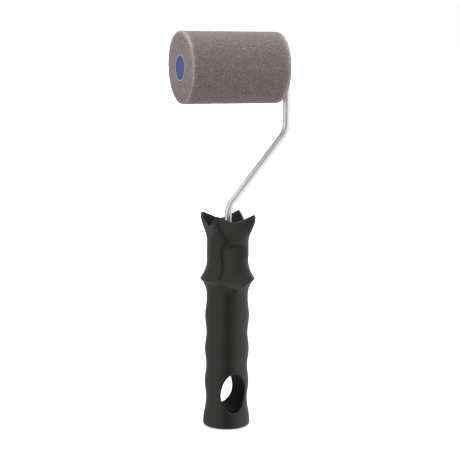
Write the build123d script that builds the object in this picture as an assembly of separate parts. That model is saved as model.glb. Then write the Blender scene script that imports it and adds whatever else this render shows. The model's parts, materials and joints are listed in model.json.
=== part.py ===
"""Foam paint roller: a moulded handle, one bent wire, two hubs on a spindle, and a foam refill.

Millimetres.  The origin is the centre of the handle's flat butt, +Z runs up the handle to the
roller, +X runs along the roller's axle towards the side leg of the wire, and the hanging hole
goes through the handle along Y.
"""
from build123d import *
import os
from math import cos, radians, sin

# Driving dimensions
SLEEVE_LENGTH = 76.2          # a 3 inch refill
SLEEVE_DIAMETER = 52.3
CORE_DIAMETER = 19.2          # the plastic tube that the foam is bonded to
CORE_WALL = 0.6
CORE_PROUD = 0.4              # the core stands out of the foam at the open end
ROLLER_HEIGHT = 269.6         # the axle's centre above the butt
WIRE_DIAMETER = 5.4
LEG_X = 46.4                  # the wire's side leg, beyond the foam's end
LEG_FOOT_Z = 222.2            # where the leg turns towards the handle
TANG_TOP_Z = 166.5            # where the wire turns down into the handle
TANG_DEPTH = 96.0             # straight stretch of wire below that turn
GRIP_RADIUS = 16.15           # mean radius of the wavy grip
GRIP_WAVE = 0.55              # height of a finger wave above and below the mean
GRIP_PITCH = 25.4             # one finger wave
FIRST_WAVE_Z = 33.6           # the lowest crest
BUTT_RADIUS = 17.5
BUTT_ROUND = 2.0
WAIST_RADIUS = 15.3
NECK_Z = 100.5                # the narrow neck under the collar
COLLAR_Z = 112.8
COLLAR_RADIUS = 20.6
WAIST_FOOT_Z = 129.0
WAIST_TOP_Z = 140.5
CROWN_Z = 162.2               # the level of the crown's four tips
CROWN_RADIUS = 21.7           # out to a tip
CROWN_FACE_TOP = 18.6         # the crown's four faces, between its corners, at the top
CROWN_WALL = 1.9
VALLEY_DEPTH_X = 9.5          # how far the rim dips between two tips, on the X faces
VALLEY_DEPTH_Y = 5.4
LIP_Z = 107.6                 # the lowest point of the lip under a thumb rest
LIP_RADIUS = 20.9             # the lip's lower edge, seen from the front
HOLE_Z = 26.9                 # the hanging hole's centre
HOLE_HALF_WIDTH = 9.4
HOLE_HALF_HEIGHT = 14.8

# Clearances
RUNNING_GAP = 0.075           # radial, hub bore on wire
SLIDING_GAP = 0.05            # radial, core tube on hubs
END_PLAY = 0.4                # along the axle, between turning and fixed pieces


def turned(outline):
    """A round piece about the axle, from an outline of (x, radius) points."""
    points = [(x, 0, ROLLER_HEIGHT + radius) for x, radius in outline]
    face = make_face(Polyline(*points, close=True))
    return revolve(face, Axis((0, 0, ROLLER_HEIGHT), (1, 0, 0)))


def tube_outline(x_start, x_end, inner, outer):
    return [(x_start, inner), (x_end, inner), (x_end, outer), (x_start, outer)]


# ---------------------------------------------------------------- positions along the axle
foam_left = -SLEEVE_LENGTH / 2
foam_right = SLEEVE_LENGTH / 2
core_left = foam_left - CORE_PROUD
core_right = foam_right - 2.2
core_outer = CORE_DIAMETER / 2
core_inner = core_outer - CORE_WALL
hub_outer = core_inner - SLIDING_GAP
wire_radius = WIRE_DIAMETER / 2
bore_radius = wire_radius + RUNNING_GAP
hub_length = 14.0
hub_rim_wall = 1.4
hub_boss_radius = 4.6
hub_web = 2.0                 # thickness of the disc that carries a hub's bore
hub_recess_depth = 6.0        # outer hub's recess, which holds the push nut and the cap
hub_recess_radius = hub_outer - 1.0
outer_hub_left = core_left + 0.1
outer_hub_right = outer_hub_left + hub_length
outer_web_left = outer_hub_left + hub_recess_depth
flange_thickness = 1.3
flange_radius = core_outer - 0.3
inner_hub_right = core_right + 0.3 + flange_thickness
inner_hub_left = inner_hub_right - hub_length
wire_tip = outer_web_left - 3.2


# ---------------------------------------------------------------- wire
def wire_path():
    """Axle, side leg, slanting brace and tang: straight runs joined by tangent bends."""
    corners = [
        (wire_tip, 0, ROLLER_HEIGHT),
        (LEG_X, 0, ROLLER_HEIGHT),
        (LEG_X, 0, LEG_FOOT_Z),
        (0, 0, TANG_TOP_Z),
        (0, 0, TANG_TOP_Z - TANG_DEPTH),
    ]
    bend_radii = [5.0, 15.0, 15.0]
    return FilletPolyline(*corners, radius=bend_radii)


def wire_frame():
    """One bent rod, with two pairs of pinched ears: the axle's shoulder and the tang's anchor."""
    path = wire_path()
    section = Plane(origin=path @ 0, z_dir=path % 0) * Circle(wire_radius)
    rod = sweep(section, path=path)
    ear_span = 7.6
    ear_thickness = 3.0
    shoulder_x = inner_hub_right + END_PLAY
    shoulder_length = 1.5
    shoulder = Pos(shoulder_x + shoulder_length / 2, 0, ROLLER_HEIGHT) * Box(
        shoulder_length, ear_span, ear_thickness)
    anchor_height = 5.0
    anchor = Pos(0, 0, TANG_TOP_Z - TANG_DEPTH + 8.0) * Box(ear_span, ear_thickness, anchor_height)
    shoulder = fillet(shoulder.edges().filter_by(Axis.X), 1.2)
    anchor = fillet(anchor.edges().filter_by(Axis.Z), 1.2)
    rod = rod + shoulder + anchor
    return rod


# ---------------------------------------------------------------- handle
def handle_outline():
    """Half section of the handle's round outer body in the XZ plane, closed along the axis."""
    butt = Line((0, 0, 0), (BUTT_RADIUS - BUTT_ROUND, 0, 0))
    round_centre_r = BUTT_RADIUS - BUTT_ROUND
    butt_round = ThreePointArc(
        butt @ 1,
        (round_centre_r + BUTT_ROUND * sin(radians(45)), 0, BUTT_ROUND * (1 - cos(radians(45)))),
        (BUTT_RADIUS, 0, BUTT_ROUND))
    wave = []
    for half_waves in range(-1, 5):
        side = 1 if half_waves % 2 == 0 else -1
        wave.append((GRIP_RADIUS + side * GRIP_WAVE, 0, FIRST_WAVE_Z + half_waves * GRIP_PITCH / 2))
    neck = (GRIP_RADIUS - GRIP_WAVE, 0, NECK_Z)
    grip = Spline(butt_round @ 1, *wave, neck, tangents=[(-0.1, 0, 1), (0, 0, 1)])
    collar_point = (COLLAR_RADIUS, 0, COLLAR_Z)
    lower_flare = TangentArc(neck, collar_point, tangent=(0, 0, 1))
    waist_foot = (WAIST_RADIUS, 0, WAIST_FOOT_Z)
    upper_flare = TangentArc(waist_foot, collar_point, tangent=(0, 0, -1))
    waist = Line(waist_foot, (WAIST_RADIUS, 0, WAIST_TOP_Z))
    crown_tip = (CROWN_RADIUS, 0, CROWN_Z)
    crown_middle = (WAIST_RADIUS + 2.6, 0, CROWN_Z - 11.0)
    crown_flare = Spline(waist @ 1, crown_middle, crown_tip, tangents=[(0, 0, 1), (0.25, 0, 1)])
    top = Line(crown_tip, (0, 0, CROWN_Z))
    axis = Line((0, 0, CROWN_Z), (0, 0, 0))
    return [butt, butt_round, grip, lower_flare, upper_flare, waist, crown_flare, top, axis]


def square_off(crown, inset=0.0):
    """Cuts four gently flared faces on the X and Y sides, leaving rounded corners between them."""
    foot = (0, -(WAIST_RADIUS - inset), WAIST_TOP_Z)
    top = (0, -(CROWN_FACE_TOP - inset), CROWN_Z)
    far_y = -2 * CROWN_RADIUS
    over_z = CROWN_Z + 2.0
    flare = TangentArc(foot, top, tangent=(0, 0, 1))
    edges = [
        flare,
        Line(top, (0, top[1], over_z)),
        Line((0, top[1], over_z), (0, far_y, over_z)),
        Line((0, far_y, over_z), (0, far_y, foot[2])),
        Line((0, far_y, foot[2]), foot),
    ]
    cutter = extrude(make_face(Wire(edges)), amount=CROWN_RADIUS, dir=(1, 0, 0), both=True)
    for turn in (0, 90, 180, 270):
        crown -= Rot(0, 0, turn) * cutter
    return crown


def crown_cup():
    """The open cup inside the crown, running down into a narrow cored well."""
    well_top_radius = 9.8
    well_foot_radius = 9.0
    well_foot_z = 50.0
    cup_foot_z = WAIST_TOP_Z + 1.5
    well_top_z = cup_foot_z - 4.0
    cup_foot_radius = WAIST_RADIUS - CROWN_WALL
    cup_middle = (WAIST_RADIUS + 0.6, 0, CROWN_Z - 11.0)
    over_z = CROWN_Z + 1.0
    lip = (CROWN_RADIUS - CROWN_WALL, 0, CROWN_Z)
    edges = [
        Line((0, 0, well_foot_z), (well_foot_radius, 0, well_foot_z)),
        Line((well_foot_radius, 0, well_foot_z), (well_top_radius, 0, well_top_z)),
        Line((well_top_radius, 0, well_top_z), (cup_foot_radius, 0, cup_foot_z)),
        Spline((cup_foot_radius, 0, cup_foot_z), cup_middle, lip, tangents=[(0, 0, 1), (0.25, 0, 1)]),
        Line(lip, (lip[0], 0, over_z)),
        Line((lip[0], 0, over_z), (0, 0, over_z)),
        Line((0, 0, over_z), (0, 0, well_foot_z)),
    ]
    cup = revolve(make_face(Wire(edges)), Axis.Z)
    return square_off(cup, inset=CROWN_WALL)


def crown_valley(depth, along):
    """A round cutter through the crown's rim, leaving tips midway between the X and Y axes."""
    half_gap = CROWN_RADIUS * cos(radians(45)) - 0.5
    radius = (half_gap ** 2 + depth ** 2) / (2 * depth)
    length = 4 * CROWN_RADIUS
    bar = Cylinder(radius, length, rotation=(90, 0, 0) if along == "Y" else (0, 90, 0))
    return Pos(0, 0, CROWN_Z - depth + radius) * bar


def thumb_scoop():
    """Cutter for the scooped thumb rest on the -Y side: a ledge above, flaring out to a lip below."""
    ledge = (0, -12.1, 137.5)
    middle = (0, -12.5, 125.5)
    lip = (0, -18.2, LIP_Z + 0.6)
    below_lip = (0, lip[1], LIP_Z - 1.4)
    far_y = -2 * CROWN_RADIUS
    edges = [
        Spline(ledge, middle, lip, tangents=[(0, 0, -1), (0, -0.85, -1)]),
        Line(lip, below_lip),
        Line(below_lip, (0, far_y, below_lip[2])),
        Line((0, far_y, below_lip[2]), (0, far_y, ledge[2])),
        Line((0, far_y, ledge[2]), ledge),
    ]
    return extrude(make_face(Wire(edges)), amount=CROWN_RADIUS, dir=(1, 0, 0), both=True)


def lip_tongue():
    """The rounded lip at the foot of the thumb rest, hanging below the collar on the -Y side."""
    disc = Pos(0, -COLLAR_RADIUS / 2, LIP_Z + LIP_RADIUS) * Cylinder(
        LIP_RADIUS, COLLAR_RADIUS, rotation=(90, 0, 0))
    skirt_height = COLLAR_Z - LIP_Z
    skirt = Pos(0, 0, LIP_Z + skirt_height / 2) * Cylinder(COLLAR_RADIUS, skirt_height)
    return disc & skirt


def hanging_hole():
    """Elliptical hole through the grip along Y."""
    outline = Plane.XZ * Pos(0, HOLE_Z) * Ellipse(HOLE_HALF_WIDTH, HOLE_HALF_HEIGHT)
    return extrude(outline, amount=2 * BUTT_RADIUS, both=True)


def socket():
    """The wire's socket: a boss on the axis, tied to the wall by four ribs."""
    boss_radius = 5.7
    boss_foot_z = 49.0
    boss_top_z = 148.0
    rib_thickness = 2.2
    rib_top_z = 139.0
    rib_reach = 11.5
    boss = Pos(0, 0, (boss_foot_z + boss_top_z) / 2) * Cylinder(boss_radius, boss_top_z - boss_foot_z)
    for angle in (45, 135):
        rib = Box(2 * rib_reach, rib_thickness, rib_top_z - boss_foot_z)
        boss += Rot(0, 0, angle) * Pos(0, 0, (boss_foot_z + rib_top_z) / 2) * rib
    return boss


def handle(wire):
    """One moulding: wavy grip with a hanging hole, collar, thumb rests and a four-tipped crown."""
    body = square_off(revolve(make_face(Wire(handle_outline())), Axis.Z))
    for turn in (0, 180):
        body += Rot(0, 0, turn) * lip_tongue()
    for turn in (0, 180):
        body -= Rot(0, 0, turn) * thumb_scoop()
    body -= crown_cup()
    body -= crown_valley(VALLEY_DEPTH_X, "X")
    body -= crown_valley(VALLEY_DEPTH_Y, "Y")
    body += socket()
    body -= hanging_hole()
    body -= wire
    return body


# ---------------------------------------------------------------- hubs and refill
def hub_pocket(x_start, x_end):
    """Ring-shaped pocket that cores out a hub, crossed by six ribs."""
    pocket = turned(tube_outline(x_start, x_end, hub_boss_radius, hub_outer - hub_rim_wall))
    rib_thickness = 1.2
    for index in range(3):
        rib = Box(2 * abs(x_end - x_start), 2 * hub_outer, rib_thickness)
        pocket -= Pos((x_start + x_end) / 2, 0, ROLLER_HEIGHT) * Rot(60 * index, 0, 0) * rib
    return pocket


def outer_hub():
    body = turned([
        (outer_hub_left, hub_recess_radius),
        (outer_web_left, hub_recess_radius),
        (outer_web_left, bore_radius),
        (outer_hub_right, bore_radius),
        (outer_hub_right, hub_outer),
        (outer_hub_left, hub_outer),
    ])
    return body - hub_pocket(outer_web_left + hub_web, outer_hub_right)


def inner_hub():
    flange_left = inner_hub_right - flange_thickness
    body = turned([
        (inner_hub_left, bore_radius),
        (inner_hub_right, bore_radius),
        (inner_hub_right, flange_radius),
        (flange_left, flange_radius),
        (flange_left, hub_outer),
        (inner_hub_left, hub_outer),
    ])
    return body - hub_pocket(inner_hub_left, inner_hub_right - hub_web)


def spindle():
    """Spacer tube that keeps the two hubs apart on the axle."""
    inner = wire_radius + 0.4
    return turned(tube_outline(outer_hub_right, inner_hub_left, inner, hub_boss_radius))


def push_nut():
    """Toothed spring-steel washer pressed on the wire's tip."""
    thickness = 0.5
    dome = 0.5
    nut_radius = 5.2
    left = outer_web_left - END_PLAY - thickness
    right = left + thickness
    disc = turned([
        (left - dome, wire_radius),
        (left, nut_radius - 1.2),
        (left, nut_radius),
        (right, nut_radius),
        (right, nut_radius - 1.2),
        (right - dome, wire_radius),
    ])
    slot_width = 0.7
    slot_outer = 3.9
    for index in range(3):
        slot = Box(6 * thickness, 2 * slot_outer, slot_width)
        disc -= Pos(left, 0, ROLLER_HEIGHT) * Rot(60 * index, 0, 0) * slot
    return disc


def hub_cap():
    """Snap-in disc that closes the outer hub, level with its rim."""
    face_thickness = 1.2
    skirt_wall = 1.0
    skirt_length = 1.6
    left = outer_hub_left
    return turned([
        (left, 0),
        (left, hub_recess_radius),
        (left + face_thickness + skirt_length, hub_recess_radius),
        (left + face_thickness + skirt_length, hub_recess_radius - skirt_wall),
        (left + face_thickness, hub_recess_radius - skirt_wall),
        (left + face_thickness, 0),
    ])


def core_tube():
    return turned(tube_outline(core_left, core_right, core_inner, core_outer))


def foam_sleeve():
    """The foam, with its cut edges slightly eased."""
    ease = 0.8
    outer = SLEEVE_DIAMETER / 2
    return turned([
        (foam_left, core_outer),
        (foam_right, core_outer),
        (foam_right, outer - ease),
        (foam_right - ease, outer),
        (foam_left + ease, outer),
        (foam_left, outer - ease),
    ])


wire = wire_frame()
nodes = {
    "handle": handle(wire),
    "wire_frame": wire,
    "push_nut": push_nut(),
    "inner_hub": inner_hub(),
    "spindle": spindle(),
    "outer_hub": outer_hub(),
    "hub_cap": hub_cap(),
    "core_tube": core_tube(),
    "foam_sleeve": foam_sleeve(),
}
os.makedirs("parts", exist_ok=True)
for name, shape in nodes.items():
    export_step(shape, f"parts/{name}.step")
    print(name, "solids", len(shape.solids()), "volume", round(shape.volume))
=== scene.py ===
"""Looks of the foam paint roller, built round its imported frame.

Lengths named *_MM, and every shape function, are in millimetres in the row's frame: origin at
the centre of the handle's butt, +Z up to the roller, +X towards the wire's side leg.
Meshes are written in metres.
"""
import json
import math

import bpy
import numpy as np
from mathutils import Matrix, Vector, noise as field


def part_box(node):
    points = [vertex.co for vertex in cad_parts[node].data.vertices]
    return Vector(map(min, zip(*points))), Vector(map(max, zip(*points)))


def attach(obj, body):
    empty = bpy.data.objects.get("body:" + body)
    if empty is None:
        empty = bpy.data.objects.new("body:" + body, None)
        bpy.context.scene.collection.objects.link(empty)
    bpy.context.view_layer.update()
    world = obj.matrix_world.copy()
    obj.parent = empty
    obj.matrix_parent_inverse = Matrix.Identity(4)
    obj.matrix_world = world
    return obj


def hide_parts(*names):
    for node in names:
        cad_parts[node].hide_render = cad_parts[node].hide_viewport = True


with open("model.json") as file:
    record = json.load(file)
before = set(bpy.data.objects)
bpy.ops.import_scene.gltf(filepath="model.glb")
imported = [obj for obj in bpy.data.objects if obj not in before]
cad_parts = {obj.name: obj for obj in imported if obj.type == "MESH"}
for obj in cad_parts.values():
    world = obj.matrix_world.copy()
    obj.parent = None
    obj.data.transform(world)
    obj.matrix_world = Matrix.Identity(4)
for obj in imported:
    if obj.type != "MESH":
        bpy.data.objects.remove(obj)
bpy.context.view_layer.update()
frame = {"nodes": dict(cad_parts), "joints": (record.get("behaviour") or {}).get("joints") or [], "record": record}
MM = 0.001

# ------------------------------------------------------------------ sizes read from the frame
_, handle_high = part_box("handle")
foam_low, foam_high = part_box("foam_sleeve")
core_low, core_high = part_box("core_tube")
joints = {joint["name"]: joint for joint in frame["joints"]}
mounts = {mount["name"]: mount for mount in frame["record"]["mounts"]}
AXLE_Z_MM = joints["roller_spin"]["pos_m"][2] / MM
HOLE_Z_MM = mounts["hanging_hole"]["pos_m"][2] / MM
CROWN_Z_MM = handle_high.z / MM
FOAM_LEFT_MM = foam_low.x / MM
FOAM_RIGHT_MM = foam_high.x / MM
FOAM_RADIUS_MM = (foam_high.z - foam_low.z) / 2 / MM
CORE_RADIUS_MM = (core_high.z - core_low.z) / 2 / MM

# ------------------------------------------------------------------ the foam's painted light: a pale fringe at its edges and end faces
EDGE_PAINTED_LIGHT_MM = 3.4          # its width, measured as distance to the end plus distance to the side
FACE_PAINTED_LIGHT_MM = 0.8          # depth below an end face that is paler than the side
WIRE_SIDE_STRETCH = 0.6       # distances to the +X end count for this much: a wider fringe there


# ------------------------------------------------------------------ small helpers
def smoothstep(value):
    value = np.clip(value, 0.0, 1.0)
    return value * value * (3 - 2 * value)


def soft_min(first, second, blend):
    """The smaller of two surfaces, with a rounded edge where they cross."""
    overlap = np.maximum(blend - np.abs(first - second), 0.0)
    return np.minimum(first, second) - overlap ** 2 / (4 * blend)


def mesh_object(name, points_mm, faces, material, body):
    """A smooth-shaded piece from points in millimetres, riding on a body."""
    mesh = bpy.data.meshes.new(name)
    mesh.from_pydata((np.asarray(points_mm) * MM).tolist(), [], faces)
    mesh.polygons.foreach_set("use_smooth", [True] * len(mesh.polygons))
    mesh.update()
    piece = bpy.data.objects.new(name, mesh)
    bpy.context.scene.collection.objects.link(piece)
    mesh.materials.append(material)
    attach(piece, body)
    return piece


def ring_faces(row_starts, columns):
    """Quads between consecutive closed rows of equal length."""
    faces = []
    for start, following in zip(row_starts[:-1], row_starts[1:]):
        for column in range(columns):
            beside = (column + 1) % columns
            faces.append((start + column, start + beside, following + beside, following + column))
    return faces


def band_faces(outer, inner):
    """Quads between two closed loops of point numbers."""
    count = len(outer)
    faces = []
    for i in range(count):
        following = (i + 1) % count
        faces.append((outer[i], outer[following], inner[following], inner[i]))
    return faces


# ------------------------------------------------------------------ shader nodes
def new_material(name):
    material = bpy.data.materials.new(name)
    material.use_nodes = True
    tree = material.node_tree
    shader = tree.nodes["Principled BSDF"]
    return material, tree, shader


def colour_ramp(tree, factor, stops):
    """Colour by factor, from (position, (red, green, blue)) stops."""
    ramp = tree.nodes.new("ShaderNodeValToRGB")
    elements = ramp.color_ramp.elements
    while len(elements) < len(stops):
        elements.new(0.5)
    for element, (position, colour) in zip(elements, stops):
        element.position = position
        element.color = (*colour, 1.0)
    tree.links.new(factor, ramp.inputs["Fac"])
    return ramp.outputs["Color"]


def math_node(tree, operation, first, second=None):
    node = tree.nodes.new("ShaderNodeMath")
    node.operation = operation
    for socket, value in zip(node.inputs, (first, second)):
        if isinstance(value, (int, float)):
            socket.default_value = value
        elif value is not None:
            tree.links.new(value, socket)
    return node.outputs["Value"]


def grey_ramp(tree, factor, stops, interpolation="LINEAR"):
    """Brightness by factor, from (position, level) stops."""
    colour_stops = [(place, (level, level, level)) for place, level in stops]
    colour = colour_ramp(tree, factor, colour_stops)
    colour.node.color_ramp.interpolation = interpolation
    return colour


def object_coordinates(tree):
    return tree.nodes.new("ShaderNodeTexCoord").outputs["Object"]


def noise(tree, coordinates, scale, detail=3.0, roughness=0.55):
    node = tree.nodes.new("ShaderNodeTexNoise")
    node.inputs["Scale"].default_value = scale
    node.inputs["Detail"].default_value = detail
    node.inputs["Roughness"].default_value = roughness
    tree.links.new(coordinates, node.inputs["Vector"])
    return node.outputs["Fac"]


def voronoi(tree, coordinates, scale, feature="F1"):
    node = tree.nodes.new("ShaderNodeTexVoronoi")
    node.feature = feature
    node.inputs["Scale"].default_value = scale
    tree.links.new(coordinates, node.inputs["Vector"])
    return node.outputs["Distance"]


def map_range(tree, value, low, high):
    """Stretches a value from 0..1 to low..high."""
    node = tree.nodes.new("ShaderNodeMapRange")
    node.inputs["To Min"].default_value = low
    node.inputs["To Max"].default_value = high
    tree.links.new(value, node.inputs["Value"])
    return node.outputs["Result"]


def bump(tree, height, distance, strength, under=None):
    """Normal of a bumpy surface, with a coarser bump under it if one is given."""
    node = tree.nodes.new("ShaderNodeBump")
    node.inputs["Distance"].default_value = distance
    node.inputs["Strength"].default_value = strength
    tree.links.new(height, node.inputs["Height"])
    if under is not None:
        tree.links.new(under, node.inputs["Normal"])
    return node.outputs["Normal"]


def multiply_colours(tree, first, second):
    mix = tree.nodes.new("ShaderNodeMixRGB")
    mix.blend_type = "MULTIPLY"
    mix.inputs["Fac"].default_value = 1.0
    tree.links.new(first, mix.inputs["Color1"])
    tree.links.new(second, mix.inputs["Color2"])
    return mix.outputs["Color"]


def axle_radius(tree, where):
    """Distance from the roller's axle."""
    axes = tree.nodes.new("ShaderNodeSeparateXYZ")
    tree.links.new(where, axes.inputs["Vector"])
    across = axes.outputs["Y"]
    up = math_node(tree, "SUBTRACT", axes.outputs["Z"], AXLE_Z_MM * MM)
    up_squared = math_node(tree, "MULTIPLY", up, up)
    across_squared = math_node(tree, "MULTIPLY", across, across)
    return math_node(tree, "SQRT", math_node(tree, "ADD", up_squared, across_squared))


# ------------------------------------------------------------------ materials
def handle_plastic():
    """Black moulded plastic: satin, with a fine grain and a faint long waviness."""
    material, tree, shader = new_material("handle_plastic")
    where = object_coordinates(tree)
    grain = noise(tree, where, 2600.0, 2.0)
    waves = noise(tree, where, 55.0, 1.5)
    tone = noise(tree, where, 140.0, 4.0)
    shades = [(0.3, (0.0112, 0.0097, 0.0066)), (0.75, (0.0148, 0.0129, 0.0090))]
    colour = colour_ramp(tree, tone, shades)
    tree.links.new(colour, shader.inputs["Base Color"])
    tree.links.new(map_range(tree, tone, 0.34, 0.42), shader.inputs["Roughness"])
    wavy = bump(tree, waves, 0.0006, 0.25)
    tree.links.new(bump(tree, grain, 0.00006, 0.5, wavy), shader.inputs["Normal"])
    return material


def dull_plastic_painted_shading(name, dark, light, gloss):
    """The handle's plastic in the crown's cup or the hanging hole: rougher, with greys that are painted light in
    the cup and painted shade in the hole.
    """
    material, tree, shader = new_material(name)
    where = object_coordinates(tree)
    tone = noise(tree, where, 260.0, 3.0)
    grain = noise(tree, where, 1800.0, 2.0)
    colour = colour_ramp(tree, tone, [(0.3, dark), (0.75, light)])
    tree.links.new(colour, shader.inputs["Base Color"])
    tree.links.new(map_range(tree, tone, 0.55, 0.70), shader.inputs["Roughness"])
    shader.inputs["Specular IOR Level"].default_value = gloss
    tree.links.new(bump(tree, grain, 0.00008, 0.5), shader.inputs["Normal"])
    return material


def zinc():
    """Bright zinc-plated steel rod, with a faint uneven polish."""
    material, tree, shader = new_material("zinc_wire")
    where = object_coordinates(tree)
    fine = noise(tree, where, 420.0, 2.0)
    cloud = noise(tree, where, 120.0, 3.0)
    colour = colour_ramp(tree, cloud, [(0.3, (0.90, 0.90, 0.90)), (0.7, (0.97, 0.97, 0.965))])
    tree.links.new(colour, shader.inputs["Base Color"])
    shader.inputs["Metallic"].default_value = 0.8
    tree.links.new(map_range(tree, fine, 0.24, 0.32), shader.inputs["Roughness"])
    tree.links.new(bump(tree, fine, 0.00001, 0.15), shader.inputs["Normal"])
    return material


def spring_steel():
    """The push nut's darker, cloudy steel."""
    material, tree, shader = new_material("spring_steel")
    where = object_coordinates(tree)
    cloud = noise(tree, where, 900.0, 3.0)
    colour = colour_ramp(tree, cloud, [(0.3, (0.18, 0.19, 0.22)), (0.7, (0.30, 0.31, 0.33))])
    tree.links.new(colour, shader.inputs["Base Color"])
    shader.inputs["Metallic"].default_value = 1.0
    tree.links.new(map_range(tree, cloud, 0.25, 0.40), shader.inputs["Roughness"])
    return material


def moulded_plastic(name, dark, light, roughness, rim_painted_shade=None):
    """Smooth moulded plastic with a slight mottle.

    The rim stops, where given, are painted shade: brightness by distance from the axle over the core's radius,
    darker towards the hub's rim.
    """
    material, tree, shader = new_material(name)
    where = object_coordinates(tree)
    cloud = noise(tree, where, 300.0, 3.0)
    grain = noise(tree, where, 2200.0, 2.0)
    colour = colour_ramp(tree, cloud, [(0.3, dark), (0.7, light)])
    if rim_painted_shade is not None:
        part = math_node(tree, "DIVIDE", axle_radius(tree, where), CORE_RADIUS_MM * MM)
        painted_rim_shade = grey_ramp(tree, part, rim_painted_shade, "EASE")
        colour = multiply_colours(tree, colour, painted_rim_shade)
    tree.links.new(colour, shader.inputs["Base Color"])
    low, high = roughness
    tree.links.new(map_range(tree, cloud, low, high), shader.inputs["Roughness"])
    tree.links.new(bump(tree, grain, 0.00005, 0.4), shader.inputs["Normal"])
    return material


def painted_edge_light(tree, where):
    """Painted light on the foam: brightness that rises towards its cut ends and its outer edges."""
    axes = tree.nodes.new("ShaderNodeSeparateXYZ")
    tree.links.new(where, axes.inputs["Vector"])
    middle = (FOAM_LEFT_MM + FOAM_RIGHT_MM) / 2 * MM
    half_length = (FOAM_RIGHT_MM - FOAM_LEFT_MM) / 2 * MM
    offset = math_node(tree, "SUBTRACT", axes.outputs["X"], middle)
    to_end = math_node(tree, "SUBTRACT", half_length, math_node(tree, "ABSOLUTE", offset))
    to_side = math_node(tree, "SUBTRACT", FOAM_RADIUS_MM * MM, axle_radius(tree, where))
    on_wire_side = math_node(tree, "GREATER_THAN", offset, 0.0)
    stretch = math_node(tree, "MULTIPLY_ADD", on_wire_side, WIRE_SIDE_STRETCH - 1.0)
    stretch.node.inputs[2].default_value = 1.0
    reach = math_node(tree, "ADD", math_node(tree, "MULTIPLY", to_end, stretch), to_side)
    edge_part = math_node(tree, "DIVIDE", reach, EDGE_PAINTED_LIGHT_MM * MM)
    face_part = math_node(tree, "DIVIDE", to_end, FACE_PAINTED_LIGHT_MM * MM)
    edge = grey_ramp(tree, edge_part, [(0.14, 1.0), (0.45, 0.64), (1.0, 0.51)])
    face = grey_ramp(tree, face_part, [(0.0, 0.66), (1.0, 0.51)], "EASE")
    return math_node(tree, "MAXIMUM", edge, face)


def foam_material():
    """Open-cell foam: small pores and larger cells in a cloudy tone, with painted light that makes it palest along
    the cut edges and paler on the end faces.
    """
    material, tree, shader = new_material("foam")
    where = object_coordinates(tree)
    pores = voronoi(tree, where, 1250.0)
    cells = voronoi(tree, where, 620.0, "SMOOTH_F1")
    blotch = noise(tree, where, 230.0, 5.0, 0.7)
    shades = [(0.05, (0.319, 0.265, 0.253)),
              (0.35, (0.507, 0.426, 0.410)),
              (0.75, (0.715, 0.606, 0.582))]
    struts = colour_ramp(tree, pores, shades)
    larger = grey_ramp(tree, cells, [(0.15, 0.82), (0.55, 1.0)])
    cloudy = grey_ramp(tree, blotch, [(0.3, 0.90), (0.7, 1.0)])
    product = multiply_colours(tree, multiply_colours(tree, struts, larger), cloudy)
    # painted light: the foam brightens towards its cut ends and outer edges
    product = multiply_colours(tree, product, painted_edge_light(tree, where))
    tree.links.new(product, shader.inputs["Base Color"])
    shader.inputs["Roughness"].default_value = 1.0
    shader.inputs["Specular IOR Level"].default_value = 0.10
    shader.inputs["Sheen Weight"].default_value = 0.6
    shader.inputs["Sheen Roughness"].default_value = 0.3
    shader.inputs["Sheen Tint"].default_value = (1.0, 0.90, 0.88, 1.0)
    coarse = bump(tree, cells, 0.0005, 0.6)
    tree.links.new(bump(tree, pores, 0.0004, 0.8, coarse), shader.inputs["Normal"])
    return material


MATERIALS = {
    # painted shade: the hanging hole's wall gets a near-black grey that stands in for the shade inside the hole
    "handle_hole_painted_shade": dull_plastic_painted_shading("handle_hole_painted_shade", dark=(0.0035, 0.0033, 0.0028),
                                light=(0.0055, 0.0050, 0.0043), gloss=0.06),
    # painted light: the crown's cup, rim and well get a lighter grey that stands in for light falling into the cup
    "handle_cup_painted_light": dull_plastic_painted_shading("handle_cup_painted_light", dark=(0.036, 0.036, 0.031),
                               light=(0.056, 0.056, 0.048), gloss=0.30),
    "handle_plastic": handle_plastic(),
    "zinc_wire": zinc(),
    "spring_steel": spring_steel(),
    # painted shade: the blue hub cap darkens towards its rim
    "hub_plastic": moulded_plastic("hub_plastic", dark=(0.028, 0.088, 0.400),
                                   light=(0.038, 0.106, 0.460), roughness=(0.30, 0.40),
                                   rim_painted_shade=[(0.50, 1.0), (0.92, 0.62)]),
    "core_plastic": moulded_plastic("core_plastic", dark=(0.66, 0.65, 0.62),
                                    light=(0.74, 0.73, 0.70), roughness=(0.40, 0.50)),
    "foam": foam_material(),
}

for subpart in frame["record"]["subparts"]:
    node_mesh = frame["nodes"][subpart["node"]].data
    node_mesh.materials.clear()
    node_mesh.materials.append(MATERIALS[subpart["material_slot"]])

# ------------------------------------------------------------------ handle: sizes
GRIP_RADIUS = 16.15           # mean radius of the finger waves
GRIP_WAVE = 0.55              # how far a wave rises above that mean
GRIP_PITCH = 25.4
FIRST_WAVE_Z = 33.6           # crest of the lowest wave
WAVES_TO_NECK = 2.5           # the waves end this many pitches above that crest, in a valley
NECK_Z = 100.5
NECK_RADIUS = GRIP_RADIUS - GRIP_WAVE
BUTT_RADIUS = 17.8
BUTT_ROUND = 2.0
BUTT_TOP_Z = 20.9

HOLE_HALF_WIDTH = 9.4
HOLE_HALF_HEIGHT = 14.8
HOLE_ROUND = 1.4

COLLAR_Z = 112.8
COLLAR_RADIUS = 20.6
COLLAR_BLEND = 0.8            # rounding where the ring meets a thumb rest
LIP_ARC_RADIUS = 20.9         # lower edge of the lip, seen from the front
LIP_Z = 107.6

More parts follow.
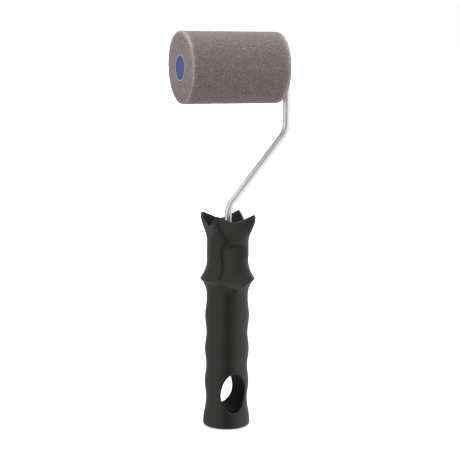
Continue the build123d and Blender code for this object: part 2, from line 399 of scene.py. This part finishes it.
THUMB_DISTANCE = 12.0         # of the thumb rest's face from the handle's axis
THUMB_FLARE = 6.5             # how much further out the face is at the lip
THUMB_FLARE_FADE = 7.0        # height over which that flare falls to 37 percent
THUMB_HOLLOW = 0.35           # how far the face's sides stand forward of its middle
THUMB_HALF_WIDTH = 9.0
THUMB_HOLLOW_START = 6.0      # height above the lip
THUMB_HOLLOW_RISE = 8.0
THUMB_BLEND = 1.6             # rounding where the face cuts the round body
LEDGE_DEPTH = 3.0             # how far the face comes forward again above the rest
LEDGE_Z = 136.2               # foot of that ledge
LEDGE_RISE = 6.2
LEAST_COSINE = 0.05           # keeps a face's distance finite towards the handle's sides

WAIST_RADIUS = 15.3
WAIST_FOOT_Z = 129.0
CROWN_FOOT_Z = 141.0
CROWN_RISE = 17.5             # height over which the corners grow
CROWN_WALL = 1.9
CORNER_WAIST_GAIN = 0.7       # how far the corners stand out of the waist's round
CORNER_WAIST_Z = 122.0
CORNER_WAIST_RISE = 10.0
CORNER_CROWN_GAIN = 5.75      # how much further they stand out at the tips
PANEL_START_Z = CROWN_FOOT_Z + 1.0
PANEL_FLARE = 0.008           # the flat sides lean out by this times the height squared
DENT_DEPTH = 0.4              # shallow dent in the front and back, round the ledge
DENT_FOOT_Z = 133.0
DENT_FOOT_RISE = 5.0
DENT_TOP_Z = 149.0
DENT_TOP_FALL = 8.0
VALLEY_DEPTH_X = 9.4          # how far the rim dips between the tips, on the X sides
VALLEY_DEPTH_Y = 5.4
TIP_CUT = 0.1                 # the tips stop this far below the crown's full height
TIP_BLEND = 0.9

WELL_RADIUS = 9.8
WELL_TAPER = 0.8              # how much narrower the well is at its floor
WELL_FLOOR_Z = 50.0
SHELF_Z = CROWN_FOOT_Z + 4.5  # where the cup starts to close in to the well
SHELF_ROUND = 4.0


# ------------------------------------------------------------------ handle: shape functions
def arc_rise(radius, run):
    """How far a circle has left its tangent after a run along it."""
    return radius - np.sqrt(np.maximum(radius ** 2 - run ** 2, 0.0))


def arc_radius(rise, run):
    """Radius of the circle that leaves its tangent by a rise after a run."""
    return (rise ** 2 + run ** 2) / (2 * rise)


LOWER_FLARE = arc_radius(COLLAR_RADIUS - NECK_RADIUS, COLLAR_Z - NECK_Z)
UPPER_FLARE = arc_radius(COLLAR_RADIUS - WAIST_RADIUS, WAIST_FOOT_Z - COLLAR_Z)


def grip_radius(z):
    """Round grip below the collar: a flared butt, then finger waves."""
    wave = GRIP_RADIUS + GRIP_WAVE * np.cos(2 * math.pi * (z - FIRST_WAVE_Z) / GRIP_PITCH)
    last_valley = FIRST_WAVE_Z + WAVES_TO_NECK * GRIP_PITCH
    wave = np.where(z > last_valley, NECK_RADIUS, wave)
    flare = smoothstep((BUTT_TOP_Z - z) / (BUTT_TOP_Z - BUTT_ROUND))
    butt = NECK_RADIUS + (BUTT_RADIUS - NECK_RADIUS) * flare
    return np.where(z < BUTT_TOP_Z, butt, wave)


def fold_angle(theta):
    """Angle from the nearest of the -Y and +Y faces, from 0 to 90 degrees, in radians."""
    return np.arctan2(np.abs(np.sin(theta)), np.abs(np.cos(theta)))


def thumb_face(x, z):
    """Distance of the scooped thumb rest from the handle's axis."""
    flare = THUMB_DISTANCE + THUMB_FLARE * np.exp(-(z - LIP_Z) / THUMB_FLARE_FADE)
    hollow = THUMB_HOLLOW * (x / THUMB_HALF_WIDTH) ** 2
    hollow_part = smoothstep((z - LIP_Z - THUMB_HOLLOW_START) / THUMB_HOLLOW_RISE)
    ledge = LEDGE_DEPTH * smoothstep((z - LEDGE_Z) / LEDGE_RISE)
    return flare + hollow * hollow_part + ledge


def collar_ring(angle):
    """(height, radius) of the sharp ring round the collar, which dips under each thumb rest."""
    x = COLLAR_RADIUS * np.sin(angle)
    dip = LIP_Z + arc_rise(LIP_ARC_RADIUS, np.minimum(x, LIP_ARC_RADIUS))
    height = soft_min(np.full_like(x, COLLAR_Z), dip, COLLAR_BLEND)
    front = thumb_face(x, height) / np.maximum(np.cos(angle), LEAST_COSINE)
    radius = soft_min(np.full_like(x, COLLAR_RADIUS), front, COLLAR_BLEND)
    return height, radius


def crown_radius(angle, z):
    """The body above the collar without its thumb rests: round, turning square-cornered upwards."""
    panel_x = WAIST_RADIUS + PANEL_FLARE * np.maximum(z - PANEL_START_Z, 0.0) ** 2
    dent_foot = smoothstep((z - DENT_FOOT_Z) / DENT_FOOT_RISE)
    dent_top = smoothstep((DENT_TOP_Z - z) / DENT_TOP_FALL)
    panel_y = panel_x - DENT_DEPTH * dent_foot * dent_top
    waist_gain = CORNER_WAIST_GAIN * smoothstep((z - CORNER_WAIST_Z) / CORNER_WAIST_RISE)
    crown_gain = CORNER_CROWN_GAIN * smoothstep((z - CROWN_FOOT_Z) / CROWN_RISE)
    corner = WAIST_RADIUS + waist_gain + crown_gain
    # The power of a superellipse that passes through the panels and the corner.
    power = 1.0 / (0.5 - np.log2(np.maximum(corner / panel_x, 1.0)))
    towards_y = (np.abs(np.cos(angle)) / panel_y) ** power
    towards_x = (np.abs(np.sin(angle)) / panel_x) ** power
    return (towards_y + towards_x) ** (-1.0 / power)


def upper_radius(angle, z):
    """Outer surface from the collar's ring to the crown's rim."""
    run = np.clip(WAIST_FOOT_Z - z, 0.0, UPPER_FLARE)
    body = crown_radius(angle, z) + arc_rise(UPPER_FLARE, run)
    x = body * np.sin(angle)
    front = thumb_face(x, z) / np.maximum(np.cos(angle), LEAST_COSINE)
    return soft_min(body, front, THUMB_BLEND)


def rim_height(angle):
    """Height of the crown's rim: four tips at the corners, valleys between them."""
    diagonal = math.pi / 4
    corner = crown_radius(np.full_like(angle, diagonal), np.full_like(angle, CROWN_Z_MM))
    half_gap = corner * math.cos(diagonal)
    sides = ((VALLEY_DEPTH_Y, corner * np.sin(angle)),
             (VALLEY_DEPTH_X, corner * np.cos(angle)))
    heights = []
    for depth, offset in sides:
        radius = arc_radius(depth, half_gap)
        heights.append(CROWN_Z_MM - depth + arc_rise(radius, np.minimum(offset, half_gap)))
    rim = np.where(angle < diagonal, heights[0], heights[1])
    return soft_min(rim, np.full_like(rim, CROWN_Z_MM - TIP_CUT), TIP_BLEND)


# ------------------------------------------------------------------ handle: mesh
HANDLE_COLUMNS = 240
HOLE_BLOCK_COLUMNS = 36       # columns either side of the hole's centre line
HOLE_BLOCK_LOW_Z = 7.5
HOLE_BLOCK_HIGH_Z = 46.5
BUTT_CENTRE_ROWS = (0.25, 0.5, 0.75, 0.93)   # as parts of the flat radius
BUTT_ROUND_STEPS = 6
BUTT_ROWS = 7
HOLE_BLOCK_ROWS = 48
GRIP_ROWS = 68
COLLAR_ROWS = 30
COLLAR_CROWDING = 1.7         # rows crowd together towards the collar's ring
BODY_ROWS = 120
BODY_CROWDING = 1.25
RIM_DROP = 0.5                # height of the rim's rounded edges
RIM_SECTION = ((0.07, 0.25), (0.22, 0.08), (0.5, 0.0),
               (CROWN_WALL - 0.5, 0.0), (CROWN_WALL - 0.22, 0.08),
               (CROWN_WALL - 0.07, 0.25), (CROWN_WALL, RIM_DROP))   # (inset, drop) of each row
CUP_ROWS = 20
SHELF_STEPS = 7
WELL_ROWS = 8
# the cup's slot carries painted light and the hole's slot painted shade
PLASTIC_SLOT, CUP_SLOT, HOLE_SLOT = range(3)   # the handle's materials, in the order it takes them


def handle_rows(theta):
    """Rows of the handle's skin, from the middle of the butt to the well's floor.

    Returns each row's radii, each row's heights, the first and last row of the block round the
    hanging hole, and the row at the foot of the crown's rim.
    """
    angle = fold_angle(theta)
    ones = np.ones_like(angle)
    rows = []

    def add(radius, height):
        rows.append((radius * ones, height * ones))

    flat_radius = BUTT_RADIUS - BUTT_ROUND
    for part in BUTT_CENTRE_ROWS:
        add(flat_radius * part, 0.0)
    for step in range(BUTT_ROUND_STEPS + 1):
        turn = math.radians(90 * step / BUTT_ROUND_STEPS)
        add(flat_radius + BUTT_ROUND * math.sin(turn), BUTT_ROUND * (1 - math.cos(turn)))
    spans = ((BUTT_ROUND, HOLE_BLOCK_LOW_Z, BUTT_ROWS),
             (HOLE_BLOCK_LOW_Z, HOLE_BLOCK_HIGH_Z, HOLE_BLOCK_ROWS),
             (HOLE_BLOCK_HIGH_Z, NECK_Z, GRIP_ROWS))
    span_ends = []
    for low, high, count in spans:
        for z in np.linspace(low, high, count + 1)[1:]:
            add(grip_radius(np.array(z)), z)
        span_ends.append(len(rows) - 1)
    block_rows = span_ends[:2]

    ring_z, ring_radius = collar_ring(angle)
    for part in 1 - (1 - np.linspace(0, 1, COLLAR_ROWS + 1)[1:]) ** COLLAR_CROWDING:
        rise = arc_rise(LOWER_FLARE, part * (COLLAR_Z - NECK_Z)) / (COLLAR_RADIUS - NECK_RADIUS)
        add(NECK_RADIUS + (ring_radius - NECK_RADIUS) * rise, NECK_Z + (ring_z - NECK_Z) * part)
    ring_row = len(rows) - 1

    rim_z = rim_height(angle)
    for part in np.linspace(0, 1, BODY_ROWS + 1)[1:] ** BODY_CROWDING:
        z = ring_z + (rim_z - RIM_DROP - ring_z) * part
        add(upper_radius(angle, z), z)
    rim_row = len(rows) - 1
    rim_radius = rows[-1][0]
    for inset, drop in RIM_SECTION:
        add(rim_radius - inset, rim_z - drop)

    for part in np.linspace(0, 1, CUP_ROWS + 1)[1:]:
        z = rim_z - RIM_DROP + (SHELF_Z - rim_z + RIM_DROP) * part
        add(upper_radius(angle, z) - CROWN_WALL, z)
    shelf_radius = rows[-1][0]
    for step in range(1, SHELF_STEPS + 1):
        turn = math.radians(90 * step / SHELF_STEPS)
        add(WELL_RADIUS + (shelf_radius - WELL_RADIUS) * math.cos(turn),
            SHELF_Z - SHELF_ROUND * math.sin(turn))
    for z in np.linspace(SHELF_Z - SHELF_ROUND, WELL_FLOOR_Z, WELL_ROWS + 1)[1:]:
        add(WELL_RADIUS - WELL_TAPER * (SHELF_Z - z) / (SHELF_Z - WELL_FLOOR_Z), z)
    add(WELL_RADIUS / 2, WELL_FLOOR_Z)

    radius = np.array([row[0] for row in rows])
    height = np.array([row[1] for row in rows])
    soften_rows(radius, height, ring_row + 1)
    return radius, height, block_rows, rim_row


def soften_rows(radius, height, row):
    """Rounds the collar's sharp ring by averaging the few rows either side of the given one."""
    for reach in (3, 3, 2):
        for values in (radius, height):
            near = slice(row - reach, row + reach + 1)
            below = values[row - reach - 1:row + reach]
            above = values[row - reach + 1:row + reach + 2]
            values[near] = (below + 2 * values[near] + above) / 4


def hole_rings(loop_theta, loop_z, side):
    """Rows of points from a rectangle on the grip in to the hanging hole's rounded rim."""
    loop_x = grip_radius(loop_z) * np.sin(loop_theta)
    spread = np.arctan2((loop_z - HOLE_Z_MM) / HOLE_HALF_HEIGHT, loop_x / HOLE_HALF_WIDTH)
    rim_x = HOLE_HALF_WIDTH * np.cos(spread)
    rim_z = HOLE_Z_MM + HOLE_HALF_HEIGHT * np.sin(spread)
    span = np.hypot(loop_x - rim_x, loop_z - rim_z)
    rim_theta = np.arcsin(rim_x / grip_radius(rim_z))
    wide_steps = 8            # across the grip's surface
    round_steps = 7           # round the hole's edge
    rings = []
    for step in range(1, wide_steps + round_steps + 1):
        if step <= wide_steps:
            left = span + (HOLE_ROUND - span) * step / wide_steps
            sink = np.zeros_like(span)
        else:
            turn = math.radians(90 * (step - wide_steps) / round_steps)
            left = np.full_like(span, HOLE_ROUND * (1 - math.sin(turn)))
            sink = np.full_like(span, HOLE_ROUND * (1 - math.cos(turn)))
        part = left / span
        theta = rim_theta + (loop_theta - rim_theta) * part
        z = rim_z + (loop_z - rim_z) * part
        radius = grip_radius(z)
        depth = radius * np.cos(theta) - sink
        rings.append(np.stack([side * radius * np.sin(theta), -side * depth, z], axis=1))
    return rings


def handle_skin():
    """Points, faces and material slots of the moulding: one skin with the hanging hole through it."""
    theta = 2 * math.pi * np.arange(HANDLE_COLUMNS) / HANDLE_COLUMNS
    radius, height, (low_row, high_row), rim_row = handle_rows(theta)
    row_count = len(radius)
    grid = np.stack([radius * np.sin(theta), -radius * np.cos(theta), height], axis=2)
    points = list(grid.reshape(-1, 3))
    starts = [row * HANDLE_COLUMNS for row in range(row_count)]
    half = HOLE_BLOCK_COLUMNS
    front_centre = 0
    back_centre = HANDLE_COLUMNS // 2
    faces = []
    slots = []

    def add_faces(new_faces, slot):
        faces.extend(new_faces)
        slots.extend([slot] * len(new_faces))

    def in_block(column, centre):
        return (column - centre + half) % HANDLE_COLUMNS < 2 * half

    for row, (start, following) in enumerate(zip(starts[:-1], starts[1:])):
        for column in range(HANDLE_COLUMNS):
            near_hole = in_block(column, front_centre) or in_block(column, back_centre)
            if low_row <= row < high_row and near_hole:
                continue
            beside = (column + 1) % HANDLE_COLUMNS
            quad = (start + column, start + beside, following + beside, following + column)
            add_faces([quad], CUP_SLOT if row >= rim_row else PLASTIC_SLOT)

    loop = [(low_row, offset) for offset in range(-half, half)]
    loop += [(row, half) for row in range(low_row, high_row)]
    loop += [(high_row, offset) for offset in range(half, -half, -1)]
    loop += [(row, -half) for row in range(high_row, low_row, -1)]
    loop_theta = np.array([2 * math.pi * offset / HANDLE_COLUMNS for _, offset in loop])
    loop_z = np.array([height[row, 0] for row, _ in loop])
    rims = []
    for side, centre in ((1, front_centre), (-1, back_centre)):
        outer = [starts[row] + (centre + offset) % HANDLE_COLUMNS for row, offset in loop]
        for ring in hole_rings(loop_theta, loop_z, side):
            inner_start = len(points)
            points.extend(ring)
            inner = list(range(inner_start, inner_start + len(ring)))
            add_faces(band_faces(outer, inner), PLASTIC_SLOT)
            outer = inner
        rims.append(outer)
    add_faces(hole_wall(points, *rims), HOLE_SLOT)

    add_faces(closing_fan(points, starts[0], height[0, 0], facing_down=True), PLASTIC_SLOT)
    add_faces(closing_fan(points, starts[-1], height[-1, 0], facing_down=False), CUP_SLOT)
    return points, faces, slots


def closing_fan(points, start, z, facing_down):
    """Triangles from a row of the skin to a new point on the handle's axis."""
    centre = len(points)
    points.append(np.array([0.0, 0.0, z]))
    faces = []
    for column in range(HANDLE_COLUMNS):
        beside = (column + 1) % HANDLE_COLUMNS
        triangle = (start + column, start + beside, centre)
        faces.append(triangle[::-1] if facing_down else triangle)
    return faces


def hole_wall(points, front, back):
    """The hanging hole's wall, from the front rim to the nearest points of the back rim."""
    steps = 14
    back_points = np.array([points[i] for i in back])
    partner = []
    for i in front:
        x, _, z = points[i]
        gaps = np.abs(back_points[:, 0] - x) + np.abs(back_points[:, 2] - z)
        partner.append(back[int(np.argmin(gaps))])
    faces = []
    outer = front
    for step in range(1, steps):
        start = len(points)
        part = step / steps
        for mine, other in zip(front, partner):
            points.append(points[mine] * (1 - part) + points[other] * part)
        inner = list(range(start, start + len(front)))
        faces += band_faces(outer, inner)
        outer = inner
    return faces + band_faces(outer, partner)


skin_points, skin_faces, skin_slots = handle_skin()
handle = mesh_object("handle_moulding", skin_points, skin_faces, MATERIALS["handle_plastic"], "frame")
handle.data.materials.append(MATERIALS["handle_cup_painted_light"])
handle.data.materials.append(MATERIALS["handle_hole_painted_shade"])
handle.data.polygons.foreach_set("material_index", skin_slots)
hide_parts("handle")

# ------------------------------------------------------------------ foam
FOAM_COLUMNS = 288
FOAM_EDGE_ROUND = 0.8
FOAM_FUZZ = 0.15              # how far the surface stands proud of the CAD foam
FOAM_RELIEF = 0.16            # how far the cut surface rises and falls
FINE_WAVES_PER_MM = 0.9
FINE_SHARE = 0.6
LONG_WAVES_PER_MM = 0.12
LONG_SHARE = 0.8
FOAM_CUT_SLANT = 0.034        # the -X end is not cut quite square: X shift per mm of height
SLANT_LENGTH = 8.0            # length over which that slant fades into the side
BORE_GAP = 0.02               # between the foam's bore and the core tube
BORE_CHAMFER = 0.4
CHAMFER_FOOT = 0.1            # next point of the chamfer, in from both the end and the bore
CHAMFER_DEPTH = 0.5
BORE_REACH = 0.3              # what is this close to the core stays smooth
SIDE_ROWS = 140
END_ROWS = 26
BORE_ROWS = 12
CORNER_STEPS = 6


def foam_profile():
    """Closed outline of (x, radius) points: the side, an end, the bore and the other end."""
    radius = FOAM_RADIUS_MM + FOAM_FUZZ
    left = FOAM_LEFT_MM - FOAM_FUZZ
    right = FOAM_RIGHT_MM + FOAM_FUZZ
    bore = CORE_RADIUS_MM + BORE_GAP
    edge = FOAM_EDGE_ROUND
    rim = radius - edge
    mouth = bore + BORE_CHAMFER
    corner = [math.radians(90 * step / CORNER_STEPS) for step in range(1, CORNER_STEPS + 1)]
    points = [(x, radius) for x in np.linspace(left + edge, right - edge, SIDE_ROWS)]
    points += [(right - edge + edge * math.sin(a), rim + edge * math.cos(a)) for a in corner]
    points += [(right, r) for r in np.linspace(rim, mouth, END_ROWS)[1:]]
    points += [(right - CHAMFER_FOOT, bore + CHAMFER_FOOT), (right - CHAMFER_DEPTH, bore)]
    in_bore = np.linspace(right - CHAMFER_DEPTH, left + CHAMFER_DEPTH, BORE_ROWS)[1:]
    points += [(x, bore) for x in in_bore]
    points += [(left + CHAMFER_FOOT, bore + CHAMFER_FOOT)]
    points += [(left, r) for r in np.linspace(mouth, rim, END_ROWS)]
    points += [(left + edge - edge * math.cos(a), rim + edge * math.sin(a)) for a in corner[:-1]]
    return np.array(points)


def foam_sleeve():
    """The foam, with an uneven cut surface everywhere but in its bore."""
    profile = foam_profile()
    ahead = np.roll(profile, -1, axis=0) - np.roll(profile, 1, axis=0)
    normals = np.stack([-ahead[:, 1], ahead[:, 0]], axis=1)
    normals /= np.linalg.norm(normals, axis=1)[:, None]
    in_bore = profile[:, 1] < CORE_RADIUS_MM + BORE_REACH
    points = []
    for (x, radius), (out_x, out_r), hidden in zip(profile, normals, in_bore):
        slant_part = smoothstep((FOAM_LEFT_MM + SLANT_LENGTH - x) / SLANT_LENGTH)
        for column in range(FOAM_COLUMNS):
            turn = 2 * math.pi * column / FOAM_COLUMNS
            place = Vector((x, radius * math.cos(turn), radius * math.sin(turn)))
            relief = (field.noise(place * FINE_WAVES_PER_MM) * FINE_SHARE
                      + field.noise(place * LONG_WAVES_PER_MM) * LONG_SHARE)
            push = 0.0 if hidden else FOAM_RELIEF * relief
            r = radius + push * out_r
            slant = FOAM_CUT_SLANT * r * math.sin(turn) * slant_part
            points.append((x + push * out_x - slant,
                           r * math.cos(turn),
                           AXLE_Z_MM + r * math.sin(turn)))
    starts = [row * FOAM_COLUMNS for row in range(len(profile))] + [0]
    faces = ring_faces(starts, FOAM_COLUMNS)
    sleeve = mesh_object("foam_refill", points, faces, MATERIALS["foam"], "refill")
    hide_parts("foam_sleeve")


foam_sleeve()

# ------------------------------------------------------------------ floor, light and camera
CAMERA_PLACE = Vector((-0.3544, -0.8660, 0.2917))     # metres
CAMERA_TARGET = Vector((0.0017, 0.0, 0.1492))
CAMERA_ROLL = math.radians(0.53)
CAMERA_LENS = 99.2            # millimetres, on a sensor of the width below
SENSOR_WIDTH = 36.0
FLOOR_REACH = 30.0            # metres from the middle to each side

# Brightness of the studio round the object, as (degrees, level) pairs. Degrees turn anticlockwise
# seen from above: 0 is towards the camera and 90 is on its right.
SURROUND = [(0, 0.19), (30, 0.48), (60, 1.05), (90, 1.00), (120, 0.80), (150, 0.70), (180, 0.95),
            (210, 0.45), (240, 0.50), (270, 0.66), (300, 0.90), (330, 0.80), (360, 0.19)]
OVERHEAD = [(0, 1.5), (90, 1.0), (180, 4.2), (270, 0.7), (360, 1.5)]
UNDERFOOT = [(0, 0.8), (45, 0.35), (90, 0.25), (180, 1.8), (270, 0.5), (360, 0.8)]
# How much each of the three counts by tilt: 0 is straight down, 0.5 level and 1 straight up.
SURROUND_TILT = [(0.05, 0.0), (0.21, 1.0), (0.79, 1.0), (0.95, 0.0)]
OVERHEAD_TILT = [(0.79, 0.0), (0.95, 1.0)]
UNDERFOOT_TILT = [(0.05, 1.0), (0.21, 0.0)]


def studio_floor():
    """A plain pale floor that neither lights the object nor shows in its gloss."""
    mesh = bpy.data.meshes.new("floor")
    corners = [(-FLOOR_REACH, -FLOOR_REACH, 0), (FLOOR_REACH, -FLOOR_REACH, 0),
               (FLOOR_REACH, FLOOR_REACH, 0), (-FLOOR_REACH, FLOOR_REACH, 0)]
    mesh.from_pydata(corners, [], [(0, 1, 2, 3)])
    floor = bpy.data.objects.new("floor", mesh)
    bpy.context.scene.collection.objects.link(floor)
    material, _, shader = new_material("floor")
    shader.inputs["Base Color"].default_value = (0.97, 0.97, 0.97, 1.0)
    shader.inputs["Roughness"].default_value = 0.9
    shader.inputs["Specular IOR Level"].default_value = 0.0
    shader.inputs["Emission Color"].default_value = (1.0, 1.0, 1.0, 1.0)
    shader.inputs["Emission Strength"].default_value = 0.45
    mesh.materials.append(material)
    floor.visible_diffuse = False
    floor.visible_glossy = False


def studio_world():
    """A white backdrop for the camera, and the studio's brightness for everything else."""
    world = bpy.data.worlds.new("studio")
    bpy.context.scene.world = world
    world.use_nodes = True
    tree = world.node_tree
    backdrop = tree.nodes["Background"]
    backdrop.inputs["Color"].default_value = (1.0, 1.0, 1.0, 1.0)
    surround = tree.nodes.new("ShaderNodeBackground")
    axes = tree.nodes.new("ShaderNodeSeparateXYZ")
    tree.links.new(tree.nodes.new("ShaderNodeTexCoord").outputs["Generated"], axes.inputs["Vector"])
    to_camera = CAMERA_PLACE - CAMERA_TARGET
    camera_bearing = math.atan2(to_camera.y, to_camera.x)
    bearing = math_node(tree, "ARCTAN2", axes.outputs["Y"], axes.outputs["X"])
    turned = math_node(tree, "SUBTRACT", bearing, camera_bearing)
    turns = math_node(tree, "MULTIPLY", turned, 0.5 / math.pi)
    turns = math_node(tree, "FRACT", math_node(tree, "ADD", turns, 2.0))
    tilt = math_node(tree, "MULTIPLY_ADD", axes.outputs["Z"], 0.5)
    tilt.node.inputs[2].default_value = 0.5
    zones = ((SURROUND, SURROUND_TILT), (OVERHEAD, OVERHEAD_TILT), (UNDERFOOT, UNDERFOOT_TILT))
    level = None
    for levels, tilt_stops in zones:
        brightest = max(value for _, value in levels)
        stops = [(degrees / 360, value / brightest) for degrees, value in levels]
        around = grey_ramp(tree, turns, stops)
        zone = math_node(tree, "MULTIPLY", around, grey_ramp(tree, tilt, tilt_stops, "EASE"))
        zone = math_node(tree, "MULTIPLY", zone, brightest)
        level = zone if level is None else math_node(tree, "ADD", level, zone)
    tree.links.new(level, surround.inputs["Strength"])
    surround.inputs["Color"].default_value = (1.0, 1.0, 1.0, 1.0)
    seen = tree.nodes.new("ShaderNodeMixShader")
    light_path = tree.nodes.new("ShaderNodeLightPath")
    tree.links.new(light_path.outputs["Is Camera Ray"], seen.inputs["Fac"])
    tree.links.new(surround.outputs["Background"], seen.inputs[1])
    tree.links.new(backdrop.outputs["Background"], seen.inputs[2])
    tree.links.new(seen.outputs["Shader"], tree.nodes["World Output"].inputs["Surface"])
    bpy.context.scene.view_settings.view_transform = "Standard"


def studio_camera():
    data = bpy.data.cameras.new("camera")
    data.lens = CAMERA_LENS
    data.sensor_width = SENSOR_WIDTH
    view = bpy.data.objects.new("camera", data)
    facing = (CAMERA_TARGET - CAMERA_PLACE).to_track_quat("-Z", "Y").to_matrix().to_4x4()
    roll = Matrix.Rotation(CAMERA_ROLL, 4, "Z")
    view.matrix_world = Matrix.Translation(CAMERA_PLACE) @ facing @ roll
    bpy.context.scene.collection.objects.link(view)
    bpy.context.scene.camera = view


studio_floor()
studio_world()
studio_camera()
